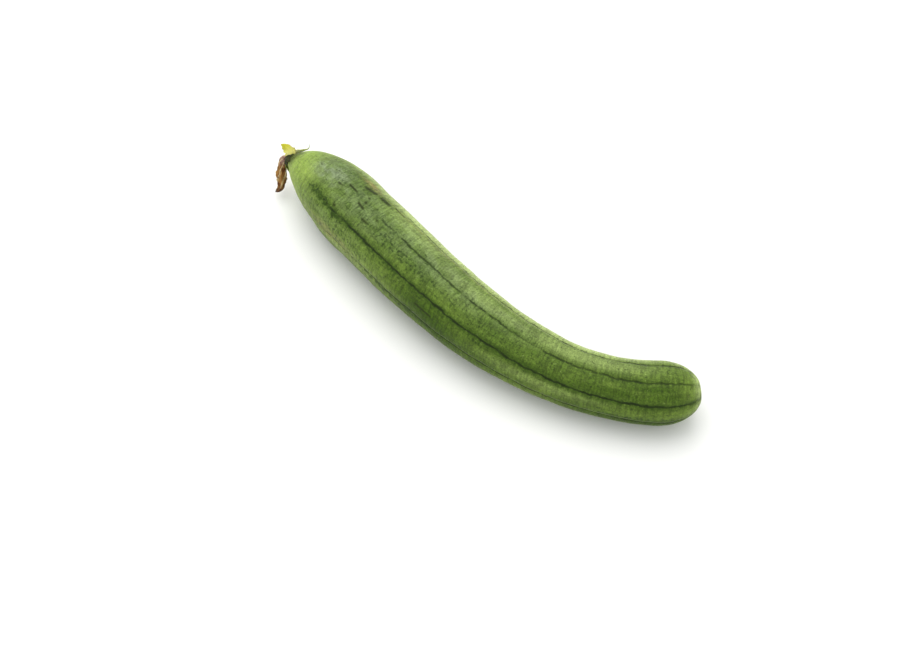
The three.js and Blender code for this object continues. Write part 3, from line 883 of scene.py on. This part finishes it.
def make_fruit():
    rings, sides = SKIN_POINTS.shape[:2]
    facts = {name: with_middles(values) for name, values in SKIN_FACTS.items()}
    fruit = make_piece("gourd", with_middles(SKIN_POINTS), ring_faces(rings, sides), facts)
    fruit.data.materials.append(skin_material())
    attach(fruit, "root")
    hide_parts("fruit")


_neck_point, _neck_along, _neck_left = middle_at(NECK_START)
NECK = _neck_point
OUTWARD = -_neck_along
SIDEWAYS = -_neck_left
UP = np.array([0.0, 0.0, 1.0])


def from_neck(out, aside, height):
    return NECK + out * OUTWARD + aside * SIDEWAYS + height * UP


def catmull_rom(knots, count):
    """Points and directions at even steps along a smooth curve through the knots."""
    knots = np.asarray(knots, float)
    padded = np.concatenate([2 * knots[:1] - knots[1:2], knots, 2 * knots[-1:] - knots[-2:-1]])
    dense = []
    for index in range(len(knots) - 1):
        a, b, c, d = padded[index:index + 4]
        t_ab, t_bc, t_cd = (np.linalg.norm(q - p) ** 0.5 for p, q in ((a, b), (b, c), (c, d)))
        slope_b = ((b - a) / t_ab - (c - a) / (t_ab + t_bc) + (c - b) / t_bc) * t_bc
        slope_c = ((c - b) / t_bc - (d - b) / (t_bc + t_cd) + (d - c) / t_cd) * t_bc
        u = np.linspace(0, 1, 60, endpoint=index == len(knots) - 2)[:, None]
        hermite = (2 * u**3 - 3 * u**2 + 1) * b + (u**3 - 2 * u**2 + u) * slope_b
        dense.append(hermite + (3 * u**2 - 2 * u**3) * c + (u**3 - u**2) * slope_c)
    dense = np.concatenate(dense)
    lengths = np.concatenate([[0], np.cumsum(np.linalg.norm(np.diff(dense, axis=0), axis=1))])
    even = np.linspace(0, lengths[-1], count)
    points = np.stack([np.interp(even, lengths, dense[:, axis]) for axis in range(3)], -1)
    directions = np.gradient(points, axis=0)
    return points, directions / np.linalg.norm(directions, axis=1)[:, None]


def carried_frame(directions):
    """Two directions across a curve at each of its points, turning with it and never twisting."""
    first = np.cross(directions[0], UP)
    normals = [first / np.linalg.norm(first)]
    for direction in directions[1:]:
        normal = normals[-1] - direction * (normals[-1] @ direction)
        normals.append(normal / np.linalg.norm(normal))
    normals = np.array(normals)
    return normals, np.cross(directions, normals)


def on_neck(out, away, angle):
    return from_neck(out, away * math.sin(angle * DEGREE), away * math.cos(angle * DEGREE))


def lobe(which, tone, first_edge, second_edge):
    """One lobe of the calyx: a cupped blade between its two edges, waved and keeled."""
    rows = np.linspace(0, LOBE_REACH, LOBE_ROWS + 1)
    edges = []
    for edge in (first_edge, second_edge):
        even, directions = catmull_rom([on_neck(*place) for place in edge], LOBE_EDGE_STEPS + 1)
        steps = np.linspace(0, 1, LOBE_EDGE_STEPS + 1)
        edges.append(np.stack([np.interp(rows, steps, even[:, axis]) for axis in range(3)], -1))
        edges.append(np.stack([np.interp(rows, steps, directions[:, axis]) for axis in range(3)], -1))
    start, start_along, end, end_along = edges
    across = end - start
    width = np.linalg.norm(across, axis=1)[:, None]
    normals = np.cross(across, start_along + end_along)
    normals = (normals / np.linalg.norm(normals, axis=1)[:, None])[:, None, :]
    u = rows[:, None]
    v = np.linspace(0, 1, LOBE_COLUMNS + 1)[None, :]
    side = 2 * v - 1
    ragged = 0.05 * np.sin(23 * u + 2 * which) + 0.03 * np.sin(57 * u + which)
    spread = v + ragged * side * np.abs(side) ** 3
    hollow = LOBE_CUPPING * width * 4 * v * (1 - v)
    wave = LOBE_WAVE * width * np.sin(14 * u + 2.1 * which + 1.3 * np.sign(side)) * side**2
    keel = LOBE_KEEL * np.exp(-((side / LOBE_KEEL_WIDTH) ** 2)) * (1 - u)
    points = start[:, None] + across[:, None] * spread[..., None]
    points = points + normals * (hollow + wave + keel)[..., None]
    thickness = LOBE_THICKNESS * (1 - 0.45 * np.abs(side) ** 3) * (1 - 0.3 * u)
    blade = np.stack([u + 0 * v, side + 0 * u, np.full_like(u * v, tone)], -1)
    solid = blade_points(points, np.broadcast_to(normals, points.shape), thickness)
    return solid, np.concatenate([blade.reshape(-1, 3)] * 2), blade_faces(LOBE_ROWS, LOBE_COLUMNS)


def cup():
    """The calyx's cup: a short solid with rounded edges and faint ribs, narrower outward."""
    shares = np.array(CUP_SHARES)
    out = shares * CUP_LENGTH + GAP
    turn = np.linspace(0, 2 * np.pi, CUP_SIDES, endpoint=False)
    rim = CUP_BASE_RADIUS + (CUP_RIM_RADIUS - CUP_BASE_RADIUS) * shares
    radius = (rim + np.array(CUP_SWELL))[:, None] + CUP_RIB * np.cos(CUP_RIBS * turn)
    spokes = UP * np.cos(turn)[:, None] + SIDEWAYS * np.sin(turn)[:, None]
    rings = NECK + OUTWARD * out[:, None, None] + spokes * radius[..., None]
    return with_middles(rings), ring_faces(len(out), CUP_SIDES)


def join_shapes(shapes):
    """Several shapes, each of points, facts and faces, as one."""
    points, facts, faces = [], [], []
    count = 0
    for shape_points, shape_facts, shape_faces in shapes:
        points.append(shape_points)
        facts.append(shape_facts)
        faces += [tuple(corner + count for corner in face) for face in shape_faces]
        count += len(shape_points)
    return np.concatenate(points), np.concatenate(facts), faces


def make_calyx():
    cup_points, cup_faces = cup()
    shapes = [(cup_points, np.zeros_like(cup_points), cup_faces)]
    shapes += [lobe(which, *lobe_shape) for which, lobe_shape in enumerate(LOBES)]
    points, blade, faces = join_shapes(shapes)
    calyx = make_piece("calyx_lobes", points, faces, {"blade": blade, "place": points})
    calyx.data.materials.append(calyx_material())
    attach(calyx, "root")
    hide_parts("calyx")


def corolla_radius(u):
    return blend(COROLLA_RADIUS_AT, COROLLA_RADIUS, u)


def petal(which, route, normals, binormals, u):
    """One petal wrapped round the corolla's core, crumpled, with a torn and flaring edge."""
    u = u[:, None]
    v = np.linspace(0, 1, PETAL_COLUMNS + 1)[None, :]
    turn = 2 * np.pi * which / PETALS + PETAL_TWIST * u + PETAL_WRAP * v
    away = normals[:, None] * np.cos(turn)[..., None] + binormals[:, None] * np.sin(turn)[..., None]
    share = PETAL_INNER_SHARE + (1 - PETAL_INNER_SHARE) * v
    middle = np.sin(np.pi * u)
    reach = share * corolla_radius(u)
    for height, around, lengthwise in PETAL_CRUMPLES:
        reach = reach + height * np.sin(around * turn + lengthwise * u) * middle
    for height, sharpness, lengthwise, differing in PETAL_FLARES:
        wave = np.sin(lengthwise * u + differing * which)
        reach = reach + height * v**sharpness * wave * middle
    points = route[:, None] + away * reach[..., None]
    thickness = PETAL_THICKNESS * (1 - 0.5 * v**3) + 0 * u
    facts = np.stack([u + 0 * v, v + 0 * u, np.full_like(u * v, which)], -1)
    solid = blade_points(points, away, thickness)
    return solid, np.concatenate([facts.reshape(-1, 3)] * 2), blade_faces(PETAL_ROWS, PETAL_COLUMNS)


def corolla_core(points, normals, binormals, u):
    turn = np.linspace(0, 2 * np.pi, CORE_SIDES, endpoint=False)
    radius = corolla_radius(u)[:, None] * CORE_SHARE + 0.12 * np.sin(7 * turn + 9 * u[:, None])
    spokes = normals[:, None] * np.cos(turn)[:, None] + binormals[:, None] * np.sin(turn)[:, None]
    rings = points[:, None] + spokes * radius[..., None]
    facts = np.stack([u[:, None] + 0 * turn, 0.2 + 0 * radius, 7 + 0 * radius], -1)
    return with_middles(rings), with_middles(facts), ring_faces(len(u), CORE_SIDES)


def make_corolla():
    knots = [from_neck(*knot) for knot in COROLLA_ROUTE]
    route, directions = catmull_rom(knots, COROLLA_STEPS + 1)
    normals, binormals = carried_frame(directions)
    whole = np.linspace(0, 1, COROLLA_STEPS + 1)
    shapes = [corolla_core(route, normals, binormals, whole)]
    u = np.linspace(PETAL_START, PETAL_END, PETAL_ROWS + 1)
    parts = []
    for values in (route, normals, binormals):
        parts.append(np.stack([np.interp(u, whole, values[:, axis]) for axis in range(3)], -1))
    shapes += [petal(which, *parts, u) for which in range(PETALS)]
    points, facts, faces = join_shapes(shapes)
    corolla = make_piece("withered_petals", points, faces, {"petal": facts, "place": points})
    corolla.data.materials.append(corolla_material())
    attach(corolla, "root")
    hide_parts("withered_corolla")


def make_stump():
    """The cut stalk: five ribs, a rounded edge and a slightly hollowed face."""
    floor_distance = float(skin_rings()[0][-1])
    point, along, left = middle_at(floor_distance)
    turn = np.linspace(0, 2 * np.pi, STUMP_SIDES, endpoint=False)
    outline = STUMP_RADIUS + STUMP_RIB * np.cos(STUMP_RIBS * turn)
    spokes = left * np.cos(turn)[:, None] + UP * np.sin(turn)[:, None]
    rings = []
    places = []
    for rise, share in STUMP_PROFILE:
        reach = (outline * share)[:, None]
        out = GAP + STUMP_LENGTH * rise
        rings.append(point + along * out + spokes * reach)
        places.append(np.stack([
            np.full(STUMP_SIDES, out),
            reach[:, 0] * np.cos(turn),
            reach[:, 0] * np.sin(turn),
        ], -1))
    rings = np.array(rings)
    facts = {"place": with_middles(np.array(places))}
    faces = ring_faces(len(STUMP_PROFILE), STUMP_SIDES)
    stump = make_piece("stalk_end", with_middles(rings), faces, facts)
    stump.data.materials.append(stump_material())
    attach(stump, "root")
    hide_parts("stalk_stump")


def in_frame(point):
    """A point in millimetres from the neck's end, as metres in the part's frame."""
    return Vector(np.asarray(point) * MM + OFFSET)


VIEW_BACK = Vector((
    math.sin(CAMERA_AZIMUTH) * math.cos(CAMERA_ELEVATION),
    -math.cos(CAMERA_AZIMUTH) * math.cos(CAMERA_ELEVATION),
    math.sin(CAMERA_ELEVATION),
))
VIEW_RIGHT = Vector((math.cos(CAMERA_AZIMUTH), math.sin(CAMERA_AZIMUTH), 0))
VIEW_AWAY = Vector((-math.sin(CAMERA_AZIMUTH), math.cos(CAMERA_AZIMUTH), 0))


def make_camera():
    data = bpy.data.cameras.new("camera")
    data.lens = CAMERA_LENS
    data.sensor_width = CAMERA_SENSOR
    camera = bpy.data.objects.new("camera", data)
    camera.location = in_frame(CAMERA_AIM) + VIEW_BACK * CAMERA_DISTANCE * MM
    camera.rotation_mode = "QUATERNION"
    camera.rotation_quaternion = (-VIEW_BACK).to_track_quat("-Z", "Y")
    bpy.context.scene.collection.objects.link(camera)
    bpy.context.scene.camera = camera


def make_lights():
    data = bpy.data.lights.new("key", "AREA")
    data.shape = "SQUARE"
    data.size = KEY_SIZE
    data.energy = KEY_POWER
    data.color = KEY_TINT
    key = bpy.data.objects.new("key", data)
    beyond, up, right = KEY_DIRECTION
    direction = VIEW_AWAY * beyond + Vector((0, 0, up)) + VIEW_RIGHT * right
    direction.normalize()
    key.location = Vector(KEY_CENTRE) + direction * KEY_DISTANCE
    key.rotation_mode = "QUATERNION"
    key.rotation_quaternion = (-direction).to_track_quat("-Z", "Y")
    bpy.context.scene.collection.objects.link(key)
    world = bpy.data.worlds.new("soft_surroundings")
    world.use_nodes = True
    background = world.node_tree.nodes["Background"]
    background.inputs["Color"].default_value = WORLD_TINT
    background.inputs["Strength"].default_value = WORLD_STRENGTH
    bpy.context.scene.world = world
    bpy.context.scene.view_settings.view_transform = "Standard"


def make_floor():
    sides = ((-1, -1), (1, -1), (1, 1), (-1, 1))
    corners = [(x * FLOOR_HALF, y * FLOOR_HALF, -FLOOR_DROP) for x, y in sides]
    mesh = bpy.data.meshes.new("floor")
    mesh.from_pydata(corners, [], [(0, 1, 2, 3)])
    mesh.materials.append(floor_material())
    floor = bpy.data.objects.new("floor", mesh)
    bpy.context.scene.collection.objects.link(floor)


make_camera()
make_lights()
make_floor()
make_fruit()
make_calyx()
make_corolla()
make_stump()
